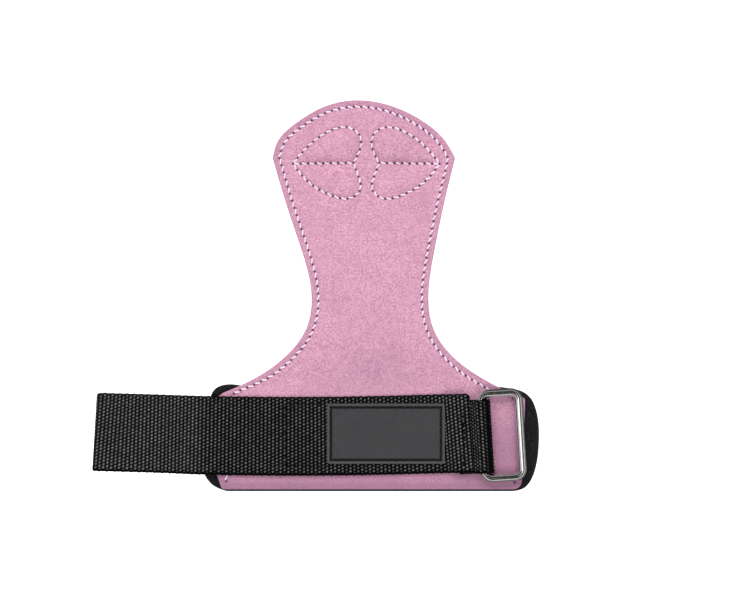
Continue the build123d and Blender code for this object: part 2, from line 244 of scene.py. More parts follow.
def inside(points, loop):
    """Whether each point is inside a closed loop."""
    x, y = points[:, :1], points[:, 1:]
    found = np.zeros(len(points), bool)
    for start in range(0, len(loop), 200):
        a = loop[start : start + 200]
        b = np.roll(loop, -1, axis=0)[start : start + 200]
        crosses = (a[:, 1] > y) != (b[:, 1] > y)
        climb = np.where(a[:, 1] == b[:, 1], 1, b[:, 1] - a[:, 1])
        where = a[:, 0] + (y - a[:, 1]) * (b[:, 0] - a[:, 0]) / climb
        found ^= (crosses & (x < where)).sum(axis=1) % 2 == 1
    return found


def distances_to(points, line):
    """The distance of each point from the nearest point of a finely spaced line."""
    tree = kdtree.KDTree(len(line))
    for i, p in enumerate(line):
        tree.insert((p[0], p[1], 0), i)
    tree.balance()
    return np.array([tree.find((p[0], p[1], 0))[2] for p in points])


def smooth(t):
    """A smooth step from 0 to 1 as t goes from 0 to 1."""
    t = np.clip(t, 0, 1)
    return t * t * (3 - 2 * t)


def waves(points, size, seed):
    """Smooth noise from -1 to 1 at each point, with features of a given size."""
    return np.array([noise.noise(Vector((p[0] / size, p[1] / size, seed))) for p in points])


# ---------------------------------------------------------------- shapes of the layers


def step_height(u, start, end, z_start, z_end):
    """The height at u of a step made of two equal tangent arcs, level at both ends."""
    run, drop = abs(end - start), z_end - z_start
    radius = (run**2 + drop**2) / (4 * abs(drop))
    u = np.clip((np.asarray(u, float) - start) * np.sign(end - start), 0, run)
    early = radius - np.sqrt(radius**2 - np.minimum(u, run / 2) ** 2)
    late = radius - np.sqrt(radius**2 - np.minimum(run - u, run / 2) ** 2)
    return np.where(u <= run / 2, z_start + np.sign(drop) * early, z_end - np.sign(drop) * late)


def leather_height(points):
    """The height of the lining's lower face, with a little unevenness in the tongue."""
    level = step_height(points[:, 1], STEP_START_Y, STEP_END_Y, PAD_TOP_Z, 0.0)
    uneven = 0.35 + 0.35 * waves(points, 34.0, 1.5) + 0.08 * waves(points, 11.0, 4.5)
    return level + uneven * smooth((points[:, 1] - 30) / 40)


def strap_height(x):
    """The height of the strap's lower face."""
    raised = SUEDE_TOP_Z + 2 * KEEPER_T
    rise = step_height(x, *RISE_X, SUEDE_TOP_Z, raised)
    drop = step_height(x, *DROP_X, SUEDE_TOP_Z, TAIL_Z)
    return np.where(np.asarray(x) > 0, rise, drop)


def strap_line(x0, x1, step, lift=0.0):
    """Points along the strap's middle, or along a layer above or below it."""
    x = np.linspace(x0, x1, 2000)
    plan = curve(STRAP_PLAN)
    z = strap_height(x) + STRAP_T / 2 + lift
    return spaced(np.stack([x, np.interp(x, plan[:, 0], plan[:, 1]), z], axis=1), step)


def leather_outline():
    """The leather's outline, anticlockwise from its lower left corner."""
    left = [(x, y) for y, x, _ in TONGUE_STATIONS]
    right = [(x, y) for y, _, x in TONGUE_STATIONS]
    runs = [
        np.array(BASE_CORNERS),
        np.array([BASE_CORNERS[1], SHOULDERS[1]]),
        np.array([SHOULDERS[1], right[0]]),
        curve(right),
        curve([right[-1], *reversed(HEAD), left[-1]]),
        curve(list(reversed(left))),
        np.array([left[0], SHOULDERS[0]]),
        np.array([SHOULDERS[0], LEFT_EDGE]),
        np.array([LEFT_EDGE, BASE_CORNERS[0]]),
    ]
    radii = [BASE_CORNER_R, SHOULDER_R, 0, HEAD_CORNER_R, HEAD_CORNER_R, 0, *LEFT_CORNER_RS]
    return loop_of(runs, radii)


def lobe_line(side, lobe):
    """The curved edge of a lobe, from its inner corner to its tip."""
    points = [(LOBE_AXIS_X + side * u, LOBE_SEAM_Y + v) for u, v in (LOBE_INNER, *lobe, LOBE_TIP)]
    return curve(points)


def seam_line(side):
    """The straight seam between two lobes."""
    return spaced([(LOBE_AXIS_X + side * u, LOBE_SEAM_Y + v) for u, v in (LOBE_INNER, LOBE_TIP)], 0.5)


LOBES = [
    (lobe_line(side, lobe), puff)
    for side in (-1, 1)
    for lobe, puff in ((UPPER_LOBE, UPPER_PUFF), (LOWER_LOBE, LOWER_PUFF))
]


def pillow(outline):
    """The shape of a stuffed pocket with this outline: a soap film under pressure, on a grid of cells."""
    low, high = outline.min(axis=0) - 2 * CELL, outline.max(axis=0) + 2 * CELL
    count = np.ceil((high - low) / CELL).astype(int) + 1
    ticks = [low[k] + CELL * np.arange(count[k]) for k in (0, 1)]
    grid = np.stack(np.meshgrid(*ticks, indexing="ij"), axis=-1)
    filled = inside(grid.reshape(-1, 2), outline).reshape(count)
    film = np.zeros(count)
    for _ in range(FILM_ROUNDS):
        around = np.roll(film, 1, 0) + np.roll(film, -1, 0) + np.roll(film, 1, 1) + np.roll(film, -1, 1)
        film = np.where(filled, around / 4 + 1, 0.0)
    return low, (film / film.max()) ** FILM_POWER


PILLOWS = [(*pillow(outline), puff) for outline, puff in LOBES]


def puffed(points):
    """How far the padded lobes lift the front leather."""
    lift = np.zeros(len(points))
    for low, shape, puff in PILLOWS:
        place = (points - low) / CELL
        cell = np.floor(place).astype(int)
        part = place - cell
        good = (cell >= 0).all(axis=1) & (cell < np.array(shape.shape) - 1).all(axis=1)
        i, j = cell[good].T
        s, t = part[good].T
        value = (shape[i, j] * (1 - s) + shape[i + 1, j] * s) * (1 - t)
        value += (shape[i, j + 1] * (1 - s) + shape[i + 1, j + 1] * s) * t
        lift[good] = np.maximum(lift[good], puff * value)
    return lift


# ---------------------------------------------------------------- seams


def holes_along(line, pitch=STITCH_PITCH):
    """Needle holes evenly spaced along a seam."""
    count = max(int(round(along(line)[-1] / pitch)), 1)
    return at_distances(line, np.linspace(0, along(line)[-1], count + 1))


OUTLINE = leather_outline()

# The edge seam's two ends, each from its last needle hole up to where the seam runs evenly inside the edge
RIGHT_SEAM = (
    (77.3, -25.4), (80.3, -20.0), (80.4, 0.0), (79.5, 13.0),
    (78.2, 19.0), (75.0, 21.4), (68.0, 22.9),
)
LEFT_SEAM = (
    (-77.1, -25.0), (-77.1, -8.0), (-77.0, 8.0), (-76.6, 16.0),
    (-73.2, 21.7), (-66.0, 25.1), (-57.2, 29.2),
)


def edge_seams():
    """The seam round the leather's edge, from its lower right end over the tongue to its lower left end."""
    loop = inset(OUTLINE, EDGE_INSET)
    right, left = curve(RIGHT_SEAM), curve(LEFT_SEAM)[::-1]
    first = np.argmin(np.linalg.norm(loop - RIGHT_SEAM[-1], axis=1))
    loop = np.roll(loop, -first, axis=0)
    last = np.argmin(np.linalg.norm(loop - LEFT_SEAM[-1], axis=1))
    line = spaced(np.vstack([right[:-2], loop[3 : last - 3], left[2:]]), 0.5)
    for _ in range(6):
        line[1:-1] = (line[:-2] + 2 * line[1:-1] + line[2:]) / 4
    return line


def under_strap(points):
    """Whether a point of the leather lies under the strap."""
    return (points[:, 0] < STRAP_X[1]) & (np.abs(points[:, 1]) < STRAP_W / 2 - 0.9)


def seam_pairs(lines, pitch=STITCH_PITCH):
    """The two ends of each stitch along some seams."""
    holes = [holes_along(line, pitch) for line in lines]
    return np.concatenate([h[:-1] for h in holes]), np.concatenate([h[1:] for h in holes])


LOBE_SEAMS = [outline for outline, _ in LOBES] + [seam_line(side) for side in (-1, 1)]
SEAM_LINES = [edge_seams(), *LOBE_SEAMS]
SEAM_POINTS = np.concatenate([spaced(line, 0.3) for line in SEAM_LINES])


def unique_points(points, distance):
    """Points with near repeats left out."""
    kept = []
    for p in points:
        if all(np.linalg.norm(p - q) > distance for q in kept[-400:]):
            kept.append(p)
    return np.array(kept)


ALL_HOLES = np.concatenate([holes_along(line) for line in SEAM_LINES])
HOLES = unique_points(ALL_HOLES[~under_strap(ALL_HOLES)], 1.2)


def groove(points):
    """How far the seams draw the leather down."""
    depth = np.zeros(len(points))
    near = ~under_strap(points)
    far = distances_to(points[near], SEAM_POINTS)
    depth[near] = 0.32 * np.exp(-((far / 0.9) ** 2)) + 0.10 * np.exp(-((far / 2.4) ** 2))
    return depth


def suede_top(points):
    """The height of the front leather's upper face, away from its needle holes."""
    return leather_height(points) + FLAT_TOP_Z + puffed(points) - groove(points)


# ---------------------------------------------------------------- meshes


def normals_of(vertices, faces):
    """Smooth vertex normals of a mesh of triangles."""
    a, b, c = (vertices[faces[:, k]] for k in range(3))
    face_normals = np.cross(b - a, c - a)
    normals = np.zeros_like(vertices)
    for k in range(3):
        np.add.at(normals, faces[:, k], face_normals)
    return normals / np.maximum(np.linalg.norm(normals, axis=1), 1e-12)[:, None]


def piece(name, vertices, faces, material, normals=None, attributes=None):
    """A smooth mesh object from points in millimetres, with named numbers on its points."""
    mesh = bpy.data.meshes.new(name)
    mesh.from_pydata((np.asarray(vertices) * MM).tolist(), [], np.asarray(faces).tolist())
    mesh.polygons.foreach_set("use_smooth", np.ones(len(mesh.polygons), bool))
    for key, values in (attributes or {}).items():
        layer = mesh.attributes.new(key, "FLOAT", "POINT")
        layer.data.foreach_set("value", np.asarray(values, np.float32))
    mesh.update()
    if normals is not None:
        mesh.normals_split_custom_set_from_vertices(normals.tolist())
    made = bpy.data.objects.new(name, mesh)
    bpy.context.scene.collection.objects.link(made)
    mesh.materials.append(material)
    return made


def finish_piece(made, slot, nodes, there):
    """Hides the CAD nodes that a piece stands for, and hangs the piece on the body it moves with, or for a
    zone bakes its place into its points. The slot is not used.
    """
    if nodes:
        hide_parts(*nodes)
    if isinstance(there, str):
        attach(made, there)
    else:
        start, end = (Vector(p) * MM for p in (there["start"], there["end"]))
        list(there["bodies"])
        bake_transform(made)
        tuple(start)
        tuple(end)


def fill_outline(loop, spacing, insets, holes=()):
    """A plan of points and triangles inside a loop: rings near its edge and round needle holes, and an even
    grid. Also gives each point's distance from the edge, if it is on a ring there, and its depth in a hole
    from 0 to 1."""
    points, edge, pit = [], [], []
    for distance in insets:
        ring = inset(loop, distance)
        points.append(ring)
        edge.append(np.full(len(ring), distance))
        pit.append(np.zeros(len(ring)))
    angles = np.linspace(0, 2 * math.pi, 9)[:-1]
    for radius, depth in HOLE_RINGS:
        for hole in holes:
            count = 1 if radius == 0 else len(angles)
            turn = angles[:count] + radius
            points.append(hole + radius * np.stack([np.cos(turn), np.sin(turn)], axis=1))
            edge.append(np.full(count, np.inf))
            pit.append(np.full(count, depth))
    fixed = np.concatenate(points)
    low, high = loop.min(axis=0), loop.max(axis=0)
    rows = np.arange(low[1], high[1], spacing * math.sqrt(3) / 2)
    grid = np.concatenate([
        np.stack([np.arange(low[0] + (i % 2) * spacing / 2, high[0], spacing)], axis=1) * [1, 0] + [0, y]
        for i, y in enumerate(rows)
    ])
    grid = grid[inside(grid, inset(loop, insets[-1]))]
    grid = grid[distances_to(grid, fixed) > 0.6 * spacing]
    fixed = np.concatenate([fixed, grid])
    edge.append(np.full(len(grid), np.inf))
    pit.append(np.zeros(len(grid)))
    count = len(loop)
    ring = [(i, (i + 1) % count) for i in range(count)]
    made = delaunay_2d_cdt([Vector(p) for p in fixed], ring, [], 1, 1e-5)
    source = np.array([ids[0] for ids in made[3]])
    plan = np.array([tuple(v) for v in made[0]])
    return plan, np.array(made[2]), np.concatenate(edge)[source], np.concatenate(pit)[source]


def closed_slab(top, bottom, triangles):
    """A closed slab: an upper sheet, a lower sheet with as many points, and walls along the open edges."""
    count = len(top)
    edges = np.concatenate([triangles[:, [0, 1]], triangles[:, [1, 2]], triangles[:, [2, 0]]])
    keys = edges[:, 0] * count + edges[:, 1]
    open_edges = edges[~np.isin(keys, edges[:, 1] * count + edges[:, 0])]
    a, b = open_edges.T
    walls = np.concatenate([
        np.stack([b, a, a + count], axis=1),
        np.stack([b, a + count, b + count], axis=1),
    ])
    return np.concatenate([top, bottom]), np.concatenate([triangles, triangles[:, ::-1] + count, walls])


def only_used(vertices, faces, *arrays):
    """A mesh without the points that no face uses."""
    used, renumbered = np.unique(faces, return_inverse=True)
    return vertices[used], renumbered.reshape(faces.shape), *(array[used] for array in arrays)


def slab_pieces(plan, triangles, top_z, bottom_z, choose):
    """The closed slab cut into pieces, each as (key, vertices, faces, normals, indices in the plan). The
    normals are the whole slab's, so that no cut shows."""
    top, bottom = np.column_stack([plan, top_z]), np.column_stack([plan, bottom_z])
    vertices, faces = closed_slab(top, bottom, triangles)
    normals = normals_of(vertices, faces)
    numbers = np.tile(np.arange(len(plan)), 2)
    keys = choose(plan[triangles].mean(axis=1))
    for key in np.unique(keys):
        _, part = closed_slab(top, bottom, triangles[keys == key])
        yield int(key), *only_used(vertices, part, normals, numbers)


def edge_drop(edge, radius):
    """How far a rounded edge falls below the face, or a corner is cut in, at a distance from the outline."""
    near = np.clip(edge, 0, radius)
    return radius - np.sqrt(radius**2 - (radius - near) ** 2)


def tube_corners(rings, around, closed=False):
    """The four corners of each face of a tube: two on one ring, and the two after them on the next."""
    i, j = np.meshgrid(np.arange(rings if closed else rings - 1), np.arange(around), indexing="ij")
    a, b = i * around + j, i * around + (j + 1) % around
    ahead = ((i + 1) % rings - i) * around
    return a, b, a + ahead, b + ahead


# ---------------------------------------------------------------- materials


def node(tree, kind, inputs=None, **settings):
    """A shader node with its settings, and its inputs as values or as (node, output) links."""
    made = tree.nodes.new(kind)
    for key, value in settings.items():
        setattr(made, key, value)
    for key, value in (inputs or {}).items():
        if isinstance(value, tuple) and isinstance(value[0], bpy.types.Node):
            tree.links.new(value[0].outputs[value[1]], made.inputs[key])
        else:
            made.inputs[key].default_value = value
    return made


def new_material(name, **constants):
    """A material, its node tree and its shader, with constant values on the shader's sockets."""
    material = bpy.data.materials.new(name)
    material.use_nodes = True
    shader = material.node_tree.nodes["Principled BSDF"]
    for key, value in constants.items():
        shader.inputs[key.replace("_", " ")].default_value = value
    return material, material.node_tree, shader


def grain(tree, size, detail=4.0, stretch=(1, 1, 1)):
    """Noise with features of a given size in millimetres, on the piece's own coordinates."""
    place = node(tree, "ShaderNodeTexCoord")
    scaled = node(tree, "ShaderNodeMapping", {"Vector": (place, "Object"), "Scale": stretch})
    inputs = {"Vector": (scaled, "Vector"), "Scale": 1000 / size, "Detail": detail, "Roughness": 0.55}
    return node(tree, "ShaderNodeTexNoise", inputs), "Fac"


def cells(tree, scale, randomness=1.0):
    """The distance from the middle of the nearest cell, on the piece's own coordinates."""
    place = node(tree, "ShaderNodeTexCoord")
    inputs = {"Vector": (place, "Object"), "Scale": scale, "Randomness": randomness}
    return node(tree, "ShaderNodeTexVoronoi", inputs), "Distance"


def ramp(tree, source, *stops):
    """A colour ramp over a value, from (position, colour) stops."""
    made = node(tree, "ShaderNodeValToRGB", {"Fac": source})
    elements = made.color_ramp.elements
    while len(elements) < len(stops):
        elements.new(0.5)
    for element, (position, colour) in zip(elements, stops, strict=True):
        element.position = position
        element.color = (*colour, 1)
    return made, "Color"


def mix(tree, factor, a, b, blend_type="MIX"):
    """A colour mix. Factor, a and b are values, colours or (node, output) links."""
    made = node(tree, "ShaderNodeMix", data_type="RGBA", blend_type=blend_type)
    for index, value in ((0, factor), (6, a), (7, b)):
        if isinstance(value, tuple) and isinstance(value[0], bpy.types.Node):
            tree.links.new(value[0].outputs[value[1]], made.inputs[index])
        elif index:
            made.inputs[index].default_value = (*value, 1)
        else:
            made.inputs[index].default_value = value
    return made, 2


def attribute(tree, name):
    """A named number on the piece's points."""
    return node(tree, "ShaderNodeAttribute", attribute_name=name), "Fac"


def grey(value):
    """A neutral colour."""
    return value, value, value


def finish_material(made, colour, *reliefs, gloss=None):
    """The material, with a colour, bumps as (height, depth in millimetres, strength) laid over each other,
    and perhaps a roughness that varies, as (source, lowest, highest)."""
    material, tree, shader = made
    tree.links.new(colour[0].outputs[colour[1]], shader.inputs["Base Color"])
    under = {}
    for height, depth, strength in reliefs:
        inputs = {"Height": height, "Distance": depth * MM, "Strength": strength, **under}
        under = {"Normal": (node(tree, "ShaderNodeBump", inputs), "Normal")}
    if under:
        tree.links.new(under["Normal"][0].outputs["Normal"], shader.inputs["Normal"])
    if gloss:
        source, low, high = gloss
        varied = node(tree, "ShaderNodeMapRange", {"Value": source, "To Min": low, "To Max": high})
        tree.links.new(varied.outputs["Result"], shader.inputs["Roughness"])
    return material


def suede_material(name, pale, dark, worn, hole):
    """Brushed suede: blotches where the nap lies differently, fine fibres, painted shade round the wrist
    band, a little darkening at the finger end and along the cut edge, and painted shade in the needle holes.
    """
    made = new_material(
        name, Roughness=0.92, Specular_IOR_Level=0.15, Sheen_Weight=0.15, Sheen_Roughness=0.45
    )
    tree = made[1]
    nap = grain(tree, 3.0, 5.0, (1, 0.8, 1))
    fibre = grain(tree, 0.95, 3.0)
    broad = ramp(tree, grain(tree, 16.0, 3.0), (0.3, dark), (0.7, pale))
    spots = ramp(tree, nap, (0.32, (0.76, 0.70, 0.79)), (0.66, (1.06, 1.08, 1.06)))
    threads = ramp(tree, fibre, (0.30, (0.62, 0.52, 0.62)), (0.70, (1.22, 1.32, 1.22)))
    colour = mix(tree, 0.5, broad, spots, "MULTIPLY")
    colour = mix(tree, 0.85, colour, threads, "MULTIPLY")
    # painted shade round the wrist band, and a little darkening at the finger end and the cut edge
    colour = mix(tree, attribute(tree, "worn"), colour, worn)
    # painted shade in the needle holes, darkest at their middles
    colour = mix(tree, attribute(tree, "pit"), colour, hole)
    return finish_material(made, colour, (fibre, 0.45, 0.8), (nap, 0.6, 0.5))


def neoprene_material():
    """Black neoprene with a fine knitted face."""
    made = new_material(
        "neoprene_knit", Roughness=0.9, Specular_IOR_Level=0.10, Sheen_Weight=0.04, Sheen_Roughness=0.6
    )
    tree = made[1]
    fuzz = grain(tree, 1.3, 5.0)
    colour = ramp(tree, fuzz, (0.32, (0.001, 0.001, 0.0014)), (0.68, (0.011, 0.0104, 0.0125)))
    return finish_material(made, colour, (cells(tree, 1500, 0.35), 0.25, 0.6), (fuzz, 0.2, 0.4))


def webbing_material():
    """Black woven webbing, with a painted highlight on each yarn's crest and painted shade, deep black, in
    the gaps between them.
    """
    made = new_material("webbing_yarn", Specular_IOR_Level=0.12)
    tree = made[1]
    # painted highlights on the yarns' high points and painted shade in the gaps, from the weave's height
    crests = ((0.35, grey(0.0002)), (0.66, (0.036, 0.036, 0.037)), (0.94, (0.125, 0.125, 0.128)))
    filament = grain(tree, 0.35, 3.0, (1, 0.35, 1))
    lines = ramp(tree, filament, (0.3, (0.55, 0.55, 0.56)), (0.7, grey(1.3)))
    colour = mix(tree, 0.8, ramp(tree, attribute(tree, "relief"), *crests), lines, "MULTIPLY")
    return finish_material(made, colour, (filament, 0.12, 0.6), gloss=(filament, 0.42, 0.68))


def thread_material(name, pale, dark, roughness):
    """Sewing thread: spun plies with fine fibres."""
    made = new_material(name, Roughness=roughness, Specular_IOR_Level=0.15)
    fibre = grain(made[1], 0.3, 3.0)
    return finish_material(made, ramp(made[1], fibre, (0.3, dark), (0.65, pale)), (fibre, 0.08, 0.6))


def chrome_material():
    """Polished chrome with the faint marks of handling."""
    made = new_material("polished_chrome", Metallic=1.0)
    tree = made[1]
    marks = grain(tree, 2.5, 6.0)
    fine = grain(tree, 0.25, 2.0, (1, 0.1, 1))
    colour = ramp(tree, marks, (0.3, (0.70, 0.70, 0.72)), (0.7, (0.84, 0.84, 0.86)))
    return finish_material(made, colour, (fine, 0.01, 0.3), gloss=(marks, 0.05, 0.14))


def patch_material():
    """A dull dark grey rubber patch with a fine moulded grain, a painted highlight along its raised rim, and
    painted shade in its stitched groove and needle holes.
    """
    made = new_material("rubber_patch", Specular_IOR_Level=0.18)
    tree = made[1]
    speckle = grain(tree, 0.45, 3.0)
    face = ramp(tree, speckle, (0.3, (0.0245, 0.0245, 0.0262)), (0.7, (0.0315, 0.0315, 0.0335)))
    shade = ramp(tree, grain(tree, 9.0, 3.0), (0.3, grey(0.93)), (0.7, grey(1.05)))
    colour = mix(tree, 1.0, face, shade, "MULTIPLY")
    # painted highlight on the raised rim, painted shade in the stitched groove and in the needle holes
    tints = {"rim": (0.052, 0.052, 0.054), "seam": (0.0035, 0.0035, 0.004), "pit": grey(0.004)}
    for name, tint in tints.items():
        colour = mix(tree, attribute(tree, name), colour, tint)
    return finish_material(made, colour, (speckle, 0.06, 0.5), gloss=(speckle, 0.55, 0.75))


def foam_material():
    """Open-cell foam."""
    made = new_material("open_cell_foam", Roughness=0.95)
    holes = cells(made[1], 1400)
    colour = ramp(made[1], holes, (0.1, (0.30, 0.27, 0.17)), (0.6, (0.72, 0.68, 0.50)))
    return finish_material(made, colour, (holes, 0.4, 0.8))


def tape_material():
    """Black nylon hook and loop tape."""
    made = new_material("tape_nylon", Roughness=0.5, Sheen_Weight=0.2)
    fibre = grain(made[1], 0.5, 4.0)
    colour = ramp(made[1], fibre, (0.3, (0.008, 0.008, 0.009)), (0.7, (0.030, 0.030, 0.033)))
    return finish_material(made, colour, (fibre, 0.15, 0.6))


SUEDE = suede_material(
    "pink_suede",
    pale=(0.424, 0.221, 0.298),
    dark=(0.378, 0.194, 0.267),
    worn=(0.185, 0.089, 0.143),
    hole=(0.105, 0.036, 0.080),
)
LINING = suede_material(
    "lining_suede",
    pale=(0.380, 0.215, 0.260),
    dark=(0.320, 0.175, 0.215),
    worn=(0.190, 0.100, 0.135),
    hole=(0.030, 0.010, 0.020),
)
NEOPRENE = neoprene_material()
WEBBING = webbing_material()
WHITE_THREAD = thread_material("white_thread_spun", (0.68, 0.60, 0.69), (0.54, 0.44, 0.54), 0.6)
BLACK_THREAD = thread_material("black_thread_spun", (0.006, 0.006, 0.007), (0.002, 0.002, 0.0025), 0.8)
CHROME = chrome_material()
PATCH = patch_material()
FOAM = foam_material()
TAPE = tape_material()


# ---------------------------------------------------------------- zones that bend


def zone(name, bodies, start, end, nodes=()):
    """A stretch of the brace that bends across one joint, and the CAD sections it stands for."""
    return {"name": name, "bodies": bodies, "start": (*start, 0), "end": (*end, 0), "nodes": nodes}


LEFT_X, RIGHT_X = pivot("left_wing_fold")[0], pivot("right_wing_fold")[0]
PALM_Y, FINGER_Y = pivot("palm_fold")[1], pivot("finger_fold")[1]
WING_HALF, PALM_HALF, FINGER_HALF = 7.0, 12.0, 14.0
LEFT_ZONE = zone("left", ("base", "left_wing"), (LEFT_X + WING_HALF, 0), (LEFT_X - WING_HALF, 0), ("left",))
RIGHT_ZONE = zone(
    "right", ("base", "right_wing"), (RIGHT_X - WING_HALF, 0), (RIGHT_X + WING_HALF, 0), ("right",)
)
PALM_ZONE = zone("palm", ("base", "palm"), (0, PALM_Y - PALM_HALF), (0, PALM_Y + PALM_HALF), ("base", "palm"))
HEAD_ZONE = zone(
    "head", ("palm", "head"), (0, FINGER_Y - FINGER_HALF), (0, FINGER_Y + FINGER_HALF), ("head",)
)
ZONES = (LEFT_ZONE, RIGHT_ZONE, PALM_ZONE, HEAD_ZONE)
LEFT_CUT_X, RIGHT_CUT_X = LEFT_X + WING_HALF, RIGHT_X - WING_HALF - 1.2
PALM_CUT_Y, HEAD_CUT_Y = PALM_Y - PALM_HALF + 3, (PALM_Y + FINGER_Y) / 2


def zone_numbers(points):
    """The place in ZONES of the zone that each point of the leather belongs to."""
    numbers = np.full(len(points), 2)
    numbers[points[:, 1] > HEAD_CUT_Y] = 3
    low = points[:, 1] < PALM_CUT_Y
    numbers[low & (points[:, 0] < LEFT_CUT_X)] = 0
    numbers[low & (points[:, 0] > RIGHT_CUT_X)] = 1
    return numbers


# ---------------------------------------------------------------- leather


def painted_shade_and_wear(points):
    """How much darker the leather is painted: most round the wrist band, above it and below the strap, as
    painted shade for the light falling off towards the wrist and the strap's shade, and a little at the
    finger end and along the cut edge."""
    x, y = points.T
    above_band = np.exp(-(((x - 4) / 34) ** 2) - ((y - 37) / 16) ** 2)
    # painted shade: darkest below the strap and round the wrist band, and over the step just above it
    base = 0.05 * smooth((60 - y) / 26) + 0.29 * above_band + 0.56 * smooth((24 - y) / 30)
    base += 0.10 * smooth((y - 138) / 24)
    edge = 0.20 * smooth((EDGE_INSET + 0.6 - distances_to(points, OUTLINE)) / 1.6)
    return np.clip(base + edge + 0.05 * waves(points, 9.0, 8.5), 0, 1)


def leather():
    """The front leather and its lining, each cut where a joint's bending starts."""
    plan, triangles, edge, pit = fill_outline(OUTLINE, 0.85, (0.0, 0.15, 0.45, 0.9), HOLES)
    low = leather_height(plan)
    lift = puffed(plan)
    drawn = groove(plan)
    rounding = edge_drop(edge, 0.5)
    top = low + FLAT_TOP_Z + lift - drawn - 0.9 * pit - rounding
    middle = low + LINING_T
    suede_low = middle + lift - np.minimum(drawn, 0.2) + 0.25 * rounding
    lining_top, lining_low = middle - 0.3 * rounding, low + 0.6 * rounding + 0.5 * drawn
    layers = (
        ("suede", SUEDE, top, suede_low, "front_leather"),
        ("lining", LINING, lining_top, lining_low, "back_leather"),
    )
    for name, material, upper, lower, node_name in layers:
        parts = slab_pieces(plan, triangles, upper, lower, zone_numbers)
        for key, vertices, faces, normals, numbers in parts:
            there = ZONES[key]
            upside = np.zeros(len(vertices))
            upside[: len(np.unique(numbers))] = 1
            marks = {"pit": pit[numbers] * upside, "worn": painted_shade_and_wear(vertices[:, :2])}
            made = piece(f"{name}_{there['name']}", vertices, faces, material, normals, marks)
            finish_piece(made, name, [f"{node_name}_{n}" for n in there["nodes"]], there)


# ---------------------------------------------------------------- wrist pad


def wrist_pad():
    """The neoprene pad, cut in two under the label, with soft edges."""
    runs = [
        np.array([PAD_LEFT[-1], PAD_RIGHT[-1]]),
        curve(PAD_RIGHT)[::-1],
        np.array([PAD_RIGHT[0], PAD_LEFT[0]]),
        curve(PAD_LEFT),
    ]
    plan, triangles, edge, _ = fill_outline(loop_of(runs, [0] * 4), 1.6, (0.0, 0.12, 0.45, 0.95, 1.6))
    rounding = edge_drop(edge, PAD_EDGE_R)
    top, bottom = PAD_TOP_Z - rounding - PAD_GAP, 0.7 * rounding
    zones = ((LEFT_ZONE, ("left", "base")), (RIGHT_ZONE, ("right",)))
    halves = slab_pieces(plan, triangles, top, bottom, lambda p: (p[:, 0] > LABEL_MIDDLE_X).astype(int))
    for key, vertices, faces, normals, _ in halves:
        there, nodes = zones[key]
        made = piece(f"neoprene_{there['name']}", vertices, faces, NEOPRENE, normals)
        finish_piece(made, "neoprene", [f"wrist_pad_{n}" for n in nodes], there)


def foam_domes():
    """The foam inserts that fill the lobes, between the front leather and the lining."""
    names = ("upper_left", "lower_left", "upper_right", "lower_right")
    for name, (outline, _) in zip(names, LOBES, strict=True):
        middle = outline.mean(axis=0)
        loop = middle + (outline[:-1] - middle) * 0.9
        if np.cross(loop, np.roll(loop, -1, axis=0)).sum() < 0:
            loop = loop[::-1]
        plan, triangles, _, _ = fill_outline(spaced(np.vstack([loop, loop[:1]]), 1.2)[:-1], 1.6, (0.0,))
        low = leather_height(plan) + LINING_T
        top = np.column_stack([plan, low + np.maximum(puffed(plan) - 0.15, 0.05)])
        vertices, faces = closed_slab(top, np.column_stack([plan, low + 0.02]), triangles)
        made = piece(f"foam_insert_{name}", vertices, faces, FOAM)
        finish_piece(made, "foam", [f"foam_pad_{name}"], "head")


# ---------------------------------------------------------------- webbing


def scatter(a, b, seed):
    """A repeatable number from 0 to 1 for each pair of whole numbers."""
    value = np.sin(a * 12.9898 + b * 78.233 + seed) * 43758.5453
    return value - np.floor(value)


def weave(u, v):
    """The weave's height, from 0 in a gap to 1 on a yarn's crest, at u along the webbing and v across it."""
    height = np.zeros(np.broadcast(u, v).shape)
    nearest = np.round(u / RIB_PITCH)
    cos, sin = math.cos(BEAD_SLANT), math.sin(BEAD_SLANT)
    for step in (-1, 0, 1):
        rib = nearest + step
        row_offset = 0.5 * (rib % 2)
        row = np.round(v / BEAD_PITCH - row_offset)
        for near in (-1, 0, 1):
            bead = row + near
            du = u - rib * RIB_PITCH - 0.10 * (scatter(rib, bead, 1.0) - 0.5)
            dv = v - (bead + row_offset) * BEAD_PITCH - 0.14 * (scatter(rib, bead, 2.0) - 0.5)
            long, short = du * cos + dv * sin, -du * sin + dv * cos
            inner = 1 - (long / BEAD_LONG) ** 2 - (short / BEAD_SHORT) ** 2
            valley = np.sqrt(np.maximum(1 - (du / (0.54 * RIB_PITCH)) ** 2, 0))
            crest = 1 - 0.18 * scatter(rib, bead, 3.0)
            height = np.maximum(height, crest * valley * np.sqrt(np.maximum(inner, 0)))
    return height


def webbing_section(width, thickness):
    """Points round the webbing's cross-section, as offsets across and out, the way that each faces, and
    distances round it. The second half is the first turned over, so that point j lies behind point -1-j."""
    radius = thickness / 2
    flat = width / 2 - radius
    turns = (np.arange(4) + 0.5) / 4 * math.pi / 2
    level = np.linspace(-flat, flat, int(2 * flat / WEAVE_STEP))
    end = np.column_stack([np.cos(turns), np.sin(turns)])
    facing = np.concatenate([end * (-1, 1), np.tile([0.0, 1.0], (len(level), 1)), end[::-1]])
    middle = np.concatenate([np.full(4, -flat), level, np.full(4, flat)])
    arc = np.concatenate([turns - math.pi / 2, np.zeros(len(level)), math.pi / 2 - turns[::-1]])
    section = radius * facing + middle[:, None] * (1, 0)
    section, facing = (np.vstack([part, part[::-1] * (1, -1)]) for part in (section, facing))
    around = middle + radius * arc
    return section, facing, np.concatenate([around, around[::-1]])


